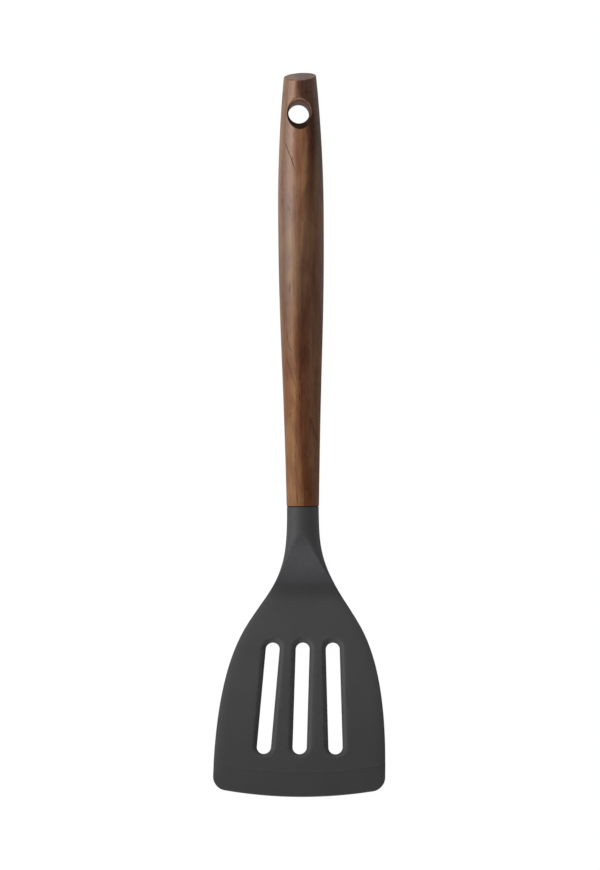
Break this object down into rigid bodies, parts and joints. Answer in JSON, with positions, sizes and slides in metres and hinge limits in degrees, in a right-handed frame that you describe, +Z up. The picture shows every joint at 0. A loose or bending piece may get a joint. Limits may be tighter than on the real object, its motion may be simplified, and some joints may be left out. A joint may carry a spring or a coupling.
{
  "type": "kitchen turner",
  "caption": "Slotted kitchen turner: a swelling walnut handle with a hang hole, glued to a bent dark grey silicone blade with a thin bowed lip.",
  "frame": {"origin": "on the worktop, under the middle of the bounding box, with the turner lying on its back", "axes": "+Z up from the worktop, +Y along the turner towards the handle's end, +X to the right seen from above with the handle's end away from the viewer"},
  "size_m": [0.0808, 0.3464, 0.0419],
  "materials": {
    "walnut": "satin oiled walnut with lengthwise grain",
    "silicone": "moulded silicone, matte dark grey with a soft sheen",
    "nylon": "glass-filled nylon, hidden inside the silicone",
    "glue": "cured two-part glue, hidden in the handle"
  },
  "bodies": {
    "root": {"handle": "walnut", "head": "silicone", "core": "nylon", "bond": "glue"}
  },
  "joints": []
}
